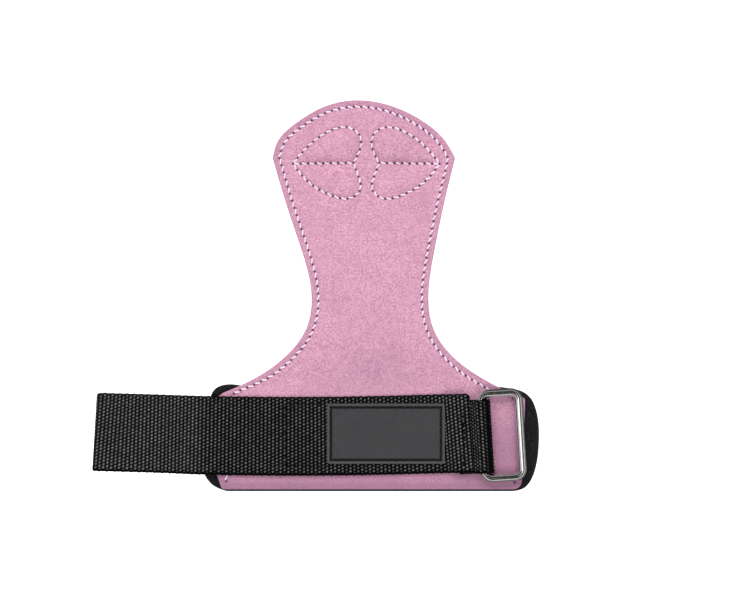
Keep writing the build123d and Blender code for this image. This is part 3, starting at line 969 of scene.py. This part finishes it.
def webbing_grid(line, sides, width, thickness, sealed=False):
    """The surface of a webbing that follows a line: its points and the weave's height, for each step along it
    and round it, the height dimmed towards the edges as painted shade. A sealed webbing is cut and
    heat-sealed at both ends."""
    section, facing, around = webbing_section(width, thickness)
    tangent = np.gradient(line, axis=0)
    tangent /= np.linalg.norm(tangent, axis=1)[:, None]
    up = np.cross(tangent, sides)
    distance = along(line)[:, None]
    across, out = (np.repeat(section[None, :, k], len(line), axis=0) for k in (0, 1))
    plain = np.where(across < 0, PLAIN_SELVEDGE, 0)
    selvedge = smooth((width / 2 - np.abs(across) - plain) / SELVEDGE_FADE)
    depth = WEAVE_DEPTH * (0.4 + 0.6 * selvedge)
    gaps = (distance, distance[-1] - distance) if sealed else ()
    for gap in gaps:
        corner = edge_drop(gap, SEALED_R)
        across = across * (width / 2 - corner) / (width / 2)
        out = out * (0.55 + 0.45 * smooth(gap / 1.0))
        depth = depth * (0.6 + 0.4 * smooth(gap / 1.5))
    height = weave(np.repeat(distance, len(section), axis=1), around[None, :])
    out_of = facing[None, :, :1] * sides[:, None, :] + facing[None, :, 1:] * up[:, None, :]
    base = line[:, None, :] + across[..., None] * sides[:, None, :] + out[..., None] * up[:, None, :]
    # the second value sets the colour: dimmed towards both edges, most on the plain lower one, as painted
    # shade
    return base + out_of * ((height - 1) * depth)[..., None], height * (0.2 + 0.8 * selvedge)


def tube_faces(rings, around):
    """Triangles of a tube of rings, closed round and capped at both ends by strips from front to back."""
    a, b, c, d = tube_corners(rings, around)
    faces = [np.stack([a, b, c], axis=-1).reshape(-1, 3), np.stack([b, d, c], axis=-1).reshape(-1, 3)]
    front = np.arange(around // 2 - 1)
    back = around - 1 - front
    caps = np.concatenate([
        np.stack([front, back, front + 1], axis=-1),
        np.stack([back, back - 1, front + 1], axis=-1),
    ])
    last = (rings - 1) * around
    return np.concatenate([*faces, caps, caps[:, ::-1] + last])


def webbing_piece(name, grid, height, normals, rings, nodes, there):
    """One stretch of webbing between two rings of its grid."""
    start, end = rings
    points, marks = grid[start : end + 1], height[start : end + 1]
    faces = tube_faces(*points.shape[:2])
    vertices = points.reshape(-1, 3)
    kept_normals = normals[start : end + 1].reshape(-1, 3)
    made = piece(name, vertices, faces, WEBBING, kept_normals, {"relief": marks.ravel()})
    finish_piece(made, "webbing", nodes, there)
    return made


def grid_normals(grid):
    """Smooth normals of a tube's grid of points."""
    rings, around = grid.shape[:2]
    faces = tube_faces(rings, around)[: 2 * (rings - 1) * around]
    return normals_of(grid.reshape(-1, 3), faces).reshape(grid.shape)


TAIL_X, TIP_X = pivot("tail_fold")[0], pivot("tip_fold")[0]
TAIL_HALF, TIP_HALF = 7.0, 7.0
TAIL_ZONE = zone("tail", ("left_wing", "tail"), (TAIL_X + TAIL_HALF, 0), (TAIL_X - TAIL_HALF, 0))
TIP_ZONE = zone("tip", ("tail", "tip"), (TIP_X + TIP_HALF, 0), (TIP_X - TIP_HALF, 0))
TAIL_CUT_X = (TAIL_X + TIP_X) / 2


def plan_sides(line):
    """Unit vectors across a line that runs nearly level."""
    tangent = np.gradient(line, axis=0)
    sides = np.column_stack([-tangent[:, 1], tangent[:, 0], np.zeros(len(line))])
    return sides / np.linalg.norm(sides, axis=1)[:, None]


def strap():
    """The strap, cut where each joint's bending starts."""
    line = strap_line(*STRAP_X, WEAVE_STEP)
    grid, height = webbing_grid(line, plan_sides(line), STRAP_W, STRAP_T, sealed=True)
    lean = 0.05 * smooth((line[:, 0] - 10) / 30) - 0.05 * smooth((-118 - line[:, 0]) / 25)
    grid[..., 0] -= lean[:, None] * (grid[..., 1] - line[:, None, 1])
    normals = grid_normals(grid)
    free = smooth((-86 - line[:, 0]) / 8)[:, None]  # the free tail is a little paler
    near_ring = smooth((line[:, 0] - 34) / 8)[:, None]
    # painted light: near_ring lifts the weave's colour on the rise before the ring
    height = height * (0.90 - 0.12 * free) + 0.15 * free + 0.05 * near_ring
    inner = [int(np.argmin(np.abs(line[:, 0] - x))) for x in (TAIL_CUT_X, STRAP_CUT_X, LABEL_MIDDLE_X)]
    cuts = [0, *inner, len(line) - 1]
    stretches = (
        ("tip", TIP_ZONE, ["strap_tip"]),
        ("tail", TAIL_ZONE, ["strap_tail"]),
        ("left", LEFT_ZONE, ["strap_over_left_wing", "strap_sewn_length"]),
        ("right", RIGHT_ZONE, []),
    )
    for (name, there, nodes), start, end in zip(stretches, cuts[:-1], cuts[1:], strict=True):
        made = webbing_piece(f"webbing_{name}", grid, height, normals, (start, end), nodes, there)
        length = along(line)[end] - along(line)[start]


def keeper_profile():
    """The keeper's middle line from the side: along from the ring's inner bar, and up from the leather."""
    inner = KEEPER_OUTER_R - KEEPER_T / 2
    turn = np.linspace(-math.pi / 2, math.pi / 2, 60)
    low, high = KEEPER_T / 2, 2 * KEEPER_OUTER_R - KEEPER_T / 2
    rows = [[(TAB_START, low), (LOOP_END, low)]]
    rows.append(np.column_stack([LOOP_END + inner * np.cos(turn), KEEPER_OUTER_R + inner * np.sin(turn)]))
    rows.append([(LOOP_FLAT, high), (LOOP_START - 0.2, 1.5 * KEEPER_T), (TAB_START, 1.5 * KEEPER_T)])
    line = spaced(np.concatenate(rows), 0.1)
    for _ in range(60):
        line[1:-1] = (line[:-2] + 2 * line[1:-1] + line[2:]) / 4
    return line


def on_keeper(points):
    """Points drawn about the axis of the ring's inner bar, put in place."""
    cos, sin = math.cos(RING_LEAN), math.sin(RING_LEAN)
    x, y, z = np.asarray(points).T
    return np.column_stack([RING_PIVOT[0] + x * cos - y * sin, RING_PIVOT[1] + x * sin + y * cos, z])


def keeper():
    """The folded webbing that holds the ring."""
    profile = keeper_profile()
    line = on_keeper(np.column_stack([profile[:, 0], np.zeros(len(profile)), profile[:, 1] + SUEDE_TOP_Z]))
    line = spaced(line, KEEPER_STEP)
    side = np.array([-math.sin(RING_LEAN), math.cos(RING_LEAN), 0.0])
    grid, height = webbing_grid(line, np.tile(side, (len(line), 1)), KEEPER_W, KEEPER_T - 0.1)
    normals = grid_normals(grid)
    shaded = smooth((LOOP_END + 1.7 + RING_PIVOT[0] - line[:, 0]) / 2.0)
    height = height * (0.2 + 0.72 * shaded)[:, None]
    ends, nodes = (0, len(line) - 1), ["keeper_tabs", "keeper_loop"]
    made = webbing_piece("webbing_keeper", grid, height, normals, ends, nodes, RIGHT_ZONE)
    along(line)[-1] * MM


# ---------------------------------------------------------------- ring


def ring():
    """The bent wire ring, with the weld in its inner bar."""
    length, width = RING_LENGTH, RING_WIDTH / 2
    turn = np.linspace(0, math.pi / 2, 24)
    arcs = []
    corners = ((length, width, 0), (0, width, 1), (0, -width, 2), (length, -width, 3))
    for x, y, quarter in corners:
        corner = RING_CORNERS[0 if x == 0 else 1]
        centre = np.array([x + (corner if x == 0 else -corner), y - math.copysign(corner, y)])
        angle = turn + quarter * math.pi / 2
        arcs.append(centre + corner * np.column_stack([np.cos(angle), np.sin(angle)]))
    loop = np.concatenate(arcs)
    loop = spaced(np.vstack([loop, loop[:1]]), 0.55)[:-1]
    fall = (RING_PIVOT[2] - SUEDE_TOP_Z - WIRE_R - RING_LIFT) / length
    tilt = math.asin(fall)
    around = 36
    angles = np.linspace(0, 2 * math.pi, around, endpoint=False)
    tangent = np.roll(loop, -1, axis=0) - np.roll(loop, 1, axis=0)
    tangent /= np.linalg.norm(tangent, axis=1)[:, None]
    outward = np.column_stack([tangent[:, 1], -tangent[:, 0]])
    weld = (loop[:, 0] < 1) * np.exp(-((loop[:, 1] / 0.9) ** 2))
    radius = WIRE_R * (1 + 0.05 * weld)
    flat = loop[:, None, :] + (radius[:, None] * np.cos(angles))[..., None] * outward[:, None, :]
    z = radius[:, None] * np.sin(angles)
    x = flat[..., 0] * math.cos(tilt) + z * math.sin(tilt)
    height = z * math.cos(tilt) - flat[..., 0] * math.sin(tilt)
    vertices = on_keeper(np.column_stack([x.ravel(), flat[..., 1].ravel(), height.ravel() + RING_PIVOT[2]]))
    a, b, c, d = tube_corners(len(loop), around, closed=True)
    faces = np.stack([a, c, d, b], axis=-1).reshape(-1, 4)
    made = piece("chrome_ring", vertices, faces, CHROME)
    finish_piece(made, "steel", ["ring"], "ring")


# ---------------------------------------------------------------- label


def label():
    """The blank patch, with a raised rim, and the row of stitches that draws it down."""
    (x0, y0, z0), (x1, y1, z1) = LABEL_LOW, LABEL_HIGH
    corners = np.array([(x0, y0), (x1, y0), (x1, y1), (x0, y1)])
    loop = loop_of(box_sides(corners), [LABEL_CORNER_R] * 4, 0.5)
    box = corners + LABEL_INSET * np.array([(1, 1), (-1, 1), (-1, -1), (1, -1)])
    seams = [spaced(side, 0.4) for side in box_sides(box)]
    holes = unique_points(np.concatenate([holes_along(line, LABEL_PITCH) for line in seams]), 1.0)
    plan, triangles, edge, pit = fill_outline(loop, 0.7, (0.0, 0.12, 0.3, 0.6, 0.95, 1.3), holes)
    inner = np.minimum.reduce([plan[:, 0] - x0, x1 - plan[:, 0], plan[:, 1] - y0, y1 - plan[:, 1]])
    rim = smooth((1.25 - inner) / 0.5)
    drawn = np.exp(-((distances_to(plan, np.concatenate(seams)) / 0.55) ** 2))
    top = z1 - LABEL_RECESS + LABEL_RECESS * rim - 0.22 * drawn - 0.5 * pit - edge_drop(edge, 0.3)
    bottom = np.full(len(plan), z0 - 0.1)
    vertices, faces = closed_slab(np.column_stack([plan, top]), np.column_stack([plan, bottom]), triangles)
    # painted highlight on the rim, and painted shade along the stitched groove and in the holes
    marks = {
        "rim": np.tile(rim * smooth(inner / 0.3), 2) * 0.8,
        "seam": np.tile(smooth(drawn * 1.4), 2) * 0.9,
        "pit": np.concatenate([pit, np.zeros(len(pit))]),
    }
    made = piece("blank_patch", vertices, faces, PATCH, None, marks)
    finish_piece(made, "patch", ["label_patch"], "base")
    starts, ends = seam_pairs(seams, LABEL_PITCH)
    level = z1 - LABEL_RECESS - 0.18
    up = np.tile([0.0, 0.0, 1.0], (len(starts), 1))
    p0, p1 = (np.column_stack([p, np.full(len(p), level)]) for p in (starts, ends))
    made = piece("patch_stitches", *stitches(p0, p1, up, 0.30), BLACK_THREAD)
    finish_piece(made, "black_thread", ["label_thread"], "base")


# ---------------------------------------------------------------- stitches


def stitches(starts, ends, up, thread_r=0.48, slant=0.66):
    """Twisted threads between pairs of needle holes: each rises out of one hole, lies a little slantwise on
    the face and dips into the next."""
    stations, plies, sides = 15, 3, 6
    t = np.linspace(0, 1, stations)
    bow = 2 * np.abs(t - 0.5)
    lift = thread_r * (0.75 - 0.35 * bow**2 - 2.2 * bow**7)
    ahead = ends - starts
    side = np.cross(up, ahead / np.linalg.norm(ahead, axis=1)[:, None])
    centre = starts[:, None] + ahead[:, None] * (0.13 + 0.74 * t)[None, :, None]
    centre = centre + up[:, None] * lift[None, :, None]
    centre = centre + side[:, None] * (slant * (1 - 2 * t) * (1 - bow**8))[None, :, None]
    twist = 2 * math.pi * t[:, None] * 1.6 + 2 * math.pi * np.arange(plies) / plies
    round_ply = np.linspace(0, 2 * math.pi, sides, endpoint=False)
    slim = (1 - 0.25 * bow**4)[:, None, None]
    x = thread_r * slim * (0.50 * np.cos(twist)[..., None] + 0.52 * np.cos(round_ply))
    y = thread_r * slim * (0.44 * np.sin(twist)[..., None] + 0.50 * np.sin(round_ply))
    points = (
        centre[:, :, None, None, :]
        + x[None, ..., None] * side[:, None, None, None, :]
        + y[None, ..., None] * up[:, None, None, None, :]
    )
    vertices = points.transpose(0, 2, 1, 3, 4).reshape(-1, 3)
    a, b, c, d = tube_corners(stations, sides)
    tube = np.stack([a, b, d, c], axis=-1).reshape(-1, 4)
    caps = np.array([[0, 3, 2, 1], [0, 5, 4, 3]])
    tube = np.concatenate([tube, caps, caps[:, ::-1] + (stations - 1) * sides])
    starts_at = np.arange(len(starts) * plies) * stations * sides
    return vertices, (starts_at[:, None, None] + tube[None]).reshape(-1, 4)


def surface_up(points, height):
    """Unit normals of a surface whose height is known."""
    step = 0.6
    offsets = step * np.eye(2)
    slopes = [(height(points + offset) - height(points - offset)) / (2 * step) for offset in offsets]
    normal = np.column_stack([-slopes[0], -slopes[1], np.ones(len(points))])
    return normal / np.linalg.norm(normal, axis=1)[:, None]


def leather_stitches():
    """The white seams of the leather, on its face and on its underside, by zone."""
    rows = (("edge_stitches", SEAM_LINES[:1], True), ("lobe_stitches", SEAM_LINES[1:], False))
    for name, lines, along_edge in rows:
        starts, ends = seam_pairs(lines)
        middle = (starts + ends) / 2
        seen = ~under_strap(middle)
        starts, ends, middle = starts[seen], ends[seen], middle[seen]
        keys = zone_numbers(middle)
        for key in np.unique(keys):
            there = ZONES[key]
            a, b, m = (p[keys == key] for p in (starts, ends, middle))
            face = threads_on(a, b, m, suede_top, 1)
            under = threads_on(a, b, m, leather_height, -1)
            vertices, faces = joined([face, under])
            made = piece(f"{name}_{there['name']}", vertices, faces, WHITE_THREAD)
            if along_edge:
                nodes = [f"edge_thread_{n}" for n in there["nodes"]]
            else:
                nodes = ["lobe_thread_left", "lobe_thread_right"]
            finish_piece(made, "white_thread", nodes, there)


def threads_on(starts, ends, middle, height, side):
    """Stitches on the upper or lower side of a surface."""
    up = surface_up(middle, height) * side
    ends_3d = [np.column_stack([p, height(p)]) for p in (starts, ends)]
    return stitches(*ends_3d, up)


def joined(parts):
    """Several meshes as one."""
    vertices, faces, count = [], [], 0
    for part_vertices, part_faces in parts:
        vertices.append(part_vertices)
        faces.append(part_faces + count)
        count += len(part_vertices)
    return np.concatenate(vertices), np.concatenate(faces)


def box_stitches():
    """The black stitching that holds the strap to the wrist band, where the label leaves it in view."""
    starts, ends = seam_pairs([spaced(side, 0.5) for side in box_sides(SEWN_BOX)])
    middle = (starts + ends) / 2
    beside_label = (middle[:, 0] < LABEL_LOW[0] - 2) | (middle[:, 0] > LABEL_HIGH[0] + 2)
    on_rise = (middle[:, 0] > RISE_X[0] - 2) & (middle[:, 0] < RISE_X[1] + 2)
    seen = beside_label & ~on_rise
    starts, ends, middle = starts[seen], ends[seen], middle[seen]
    on_left = middle[:, 0] < LABEL_MIDDLE_X
    for name, there, chosen in (("left", LEFT_ZONE, on_left), ("right", RIGHT_ZONE, ~on_left)):
        a, b, m = (p[chosen] for p in (starts, ends, middle))
        threads = threads_on(a, b, m, lambda p: strap_height(p[:, 0]) + STRAP_T - 0.1, 1)
        made = piece(f"box_stitches_{name}", *threads, BLACK_THREAD)
        finish_piece(made, "black_thread", ["strap_thread"] if name == "left" else [], there)


# ---------------------------------------------------------------- hook and loop tape


def tape_base(name, x, there, nodes):
    """The woven backing of a tape, under the strap."""
    line = strap_line(*x, 0.6, -STRAP_T / 2 - 0.3)
    sides = plan_sides(line)
    across = np.linspace(-TAPE_W / 2, TAPE_W / 2, 64)
    up = np.cross(np.gradient(line, axis=0), sides)
    up /= np.linalg.norm(up, axis=1)[:, None]
    half = 0.25 * np.sqrt(1 - np.clip(np.abs(across) / (TAPE_W / 2), 0, 1) ** 40 * 0.9)
    ripple = 0.03 * np.sin(across * 5.0)[None, :] * np.cos(along(line) * 5.0)[:, None]
    middle = line[:, None, :] + across[None, :, None] * sides[:, None, :]
    top = middle + up[:, None, :] * (half[None, :, None] + ripple[..., None])
    bottom = middle - up[:, None, :] * (half[None, :, None] - ripple[..., None])
    grid = np.concatenate([top, bottom[:, ::-1]], axis=1)
    made = piece(name, grid.reshape(-1, 3), tube_faces(*grid.shape[:2]), TAPE)
    finish_piece(made, "tape", nodes, there)
    return made, line, sides, up


def pile(name, line, sides, up, there, hooked):
    """The hooks or loops of a tape, which point down."""
    pitch = 1.25 if hooked else 0.95
    sweep = 1.35 * math.pi if hooked else math.pi
    rise, reach = (0.42, 0.26) if hooked else (0.34, 0.30)
    rng = np.random.default_rng(7)
    distance = along(line)
    rows = np.arange(0.9, distance[-1] - 0.6, pitch)
    columns = np.arange(-TAPE_W / 2 + 1.0, TAPE_W / 2 - 0.8, pitch)
    stations, around, wire = 9, 5, 0.09 if hooked else 0.07
    turn = np.linspace(0, sweep, stations)
    arc_along, arc_down = -reach * np.cos(turn), rise * np.sin(turn).clip(-0.35)
    parts = []
    ring_turn = np.linspace(0, 2 * math.pi, around, endpoint=False)
    ring_cos, ring_sin = np.cos(ring_turn)[None, :, None], np.sin(ring_turn)[None, :, None]
    a, b, c, d = tube_corners(stations, around)
    faces = np.stack([a, b, d, c], axis=-1).reshape(-1, 4)
    for row in rows:
        k = int(np.searchsorted(distance, row))
        tangent = np.cross(sides[k], up[k])
        for column in columns:
            spin = rng.normal(0, 0.12 if hooked else 1.2)
            ahead = tangent * math.cos(spin) + sides[k] * math.sin(spin)
            foot = line[k] + sides[k] * (column + rng.normal(0, 0.08)) - up[k] * 0.22
            path = foot + arc_along[:, None] * ahead - arc_down[:, None] * up[k]
            direction = np.gradient(path, axis=0)
            direction /= np.linalg.norm(direction, axis=1)[:, None]
            beside = np.cross(up[k], ahead)
            third = np.cross(direction, beside)
            round_wire = ring_cos * beside + ring_sin * third[:, None]
            parts.append(((path[:, None] + wire * round_wire).reshape(-1, 3), faces))
    made = piece(name, *joined(parts), TAPE)
    finish_piece(made, "tape", [], there)
    return made


def tapes():
    """The hook tape under the strap's tip, and the loop tape under its tail."""
    tip_x, tail_x = (LOOP_TAPE_X[0], TAIL_CUT_X), (TAIL_CUT_X, LOOP_TAPE_X[1])
    plans = (
        ("hook_tape_backing", "hook_tape_hooks", HOOK_TAPE_X, TIP_ZONE, ["hook_tape"], True),
        ("loop_tape_backing_tip", "loop_tape_loops_tip", tip_x, TIP_ZONE, ["loop_tape"], False),
        ("loop_tape_backing_tail", "loop_tape_loops_tail", tail_x, TAIL_ZONE, [], False),
    )
    for name, pile_name, x, there, nodes, hooked in plans:
        made, line, sides, up = tape_base(name, x, there, nodes)
        fine = pile(pile_name, line, sides, up, there, hooked)
        along(line)[-1] * MM


# ---------------------------------------------------------------- scene


def camera():
    """A camera straight above, framed as the photograph is, in metres."""
    height, width = 1.2, 0.3952
    leather_z = 0.004
    data = bpy.data.cameras.new("camera")
    data.sensor_width = 36.0
    data.lens = data.sensor_width * (height - leather_z) / width
    data.clip_end = 10.0
    made = bpy.data.objects.new("camera", data)
    made.location = (-0.0011, 0.0722, height)
    bpy.context.scene.collection.objects.link(made)
    bpy.context.scene.camera = made


FLOOR_Z = -0.115  # in metres: low enough that no folded end or hanging tail reaches it


def floor():
    """A plain pale floor, a little below the brace so that its folded ends stay clear of it."""
    material = new_material("pale_floor", Roughness=0.9, Specular_IOR_Level=0.1)
    tree = material[1]
    colour = ramp(tree, grain(tree, 300.0, 2.0), (0.3, grey(0.95)), (0.7, grey(0.97)))
    half = 3000.0
    corners = [(-half, -half, 0), (half, -half, 0), (half, half, 0), (-half, half, 0)]
    made = piece("floor", corners, [(0, 1, 2, 3)], finish_material(material, colour))
    made.location.z = FLOOR_Z
    made.visible_glossy = False


def area_light(name, place, target, size, power, reflected):
    """A soft rectangular light that the camera doesn't see."""
    data = bpy.data.lights.new(name, "AREA")
    data.shape = "RECTANGLE"
    data.size, data.size_y = size
    data.energy = power
    made = bpy.data.objects.new(name, data)
    made.location = place
    made.rotation_euler = (Vector(place) - Vector(target)).to_track_quat("Z", "Y").to_euler()
    made.visible_camera = False
    made.visible_glossy = reflected
    bpy.context.scene.collection.objects.link(made)


# What the polished wire mirrors, by how steeply a mirrored ray rises: from level or below (0) to upright (1)
MIRRORED_ROOM = (
    (0.0, (0.16, 0.16, 0.15)),
    (0.10, (0.05, 0.05, 0.06)),
    (0.30, (0.60, 0.58, 0.54)),
    (0.60, (0.74, 0.73, 0.68)),
    (0.78, (0.055, 0.055, 0.045)),
)


def studio_world():
    """A white room for the camera. The polished wire sees a dark ceiling round the camera, pale walls and a
    dark floor."""
    world = bpy.data.worlds.new("studio")
    bpy.context.scene.world = world
    world.use_nodes = True
    tree = world.node_tree
    background = tree.nodes["Background"]
    direction = node(tree, "ShaderNodeTexCoord")
    parts = node(tree, "ShaderNodeSeparateXYZ", {"Vector": (direction, "Generated")})
    height = ramp(tree, (parts, "Z"), *MIRRORED_ROOM)
    across = ramp(tree, (parts, "Y"), (0.0, grey(1)), (0.5, grey(0.5)))
    seen = mix(tree, 1.0, height, across, "MULTIPLY")
    ray = node(tree, "ShaderNodeLightPath")
    room = mix(tree, (ray, "Is Glossy Ray"), grey(0.95), seen)
    colour = mix(tree, (ray, "Is Camera Ray"), room, grey(1))
    tree.links.new(colour[0].outputs[colour[1]], background.inputs["Color"])
    background.inputs["Strength"].default_value = 1.0


def lights():
    """Soft studio light, a little stronger from beyond the fingers, with a long lamp overhead that the wire
    mirrors, and the room round it. Places and sizes are in metres."""
    target = (0.0, 0.06, 0.0)
    area_light("key", (-0.25, 1.0, 0.9), target, (0.7, 0.7), 18.0, False)
    area_light("fill", (0.5, -0.6, 1.1), target, (0.8, 0.8), 11.0, False)
    area_light("window", (-0.225, -0.045, 1.0), (-0.225, -0.045, 0.0), (0.89, 0.20), 0.9, True)
    studio_world()
    bpy.context.scene.view_settings.view_transform = "Standard"


camera()
leather()
wrist_pad()
foam_domes()
strap()
keeper()
ring()
label()
leather_stitches()
box_stitches()
tapes()
floor()
lights()
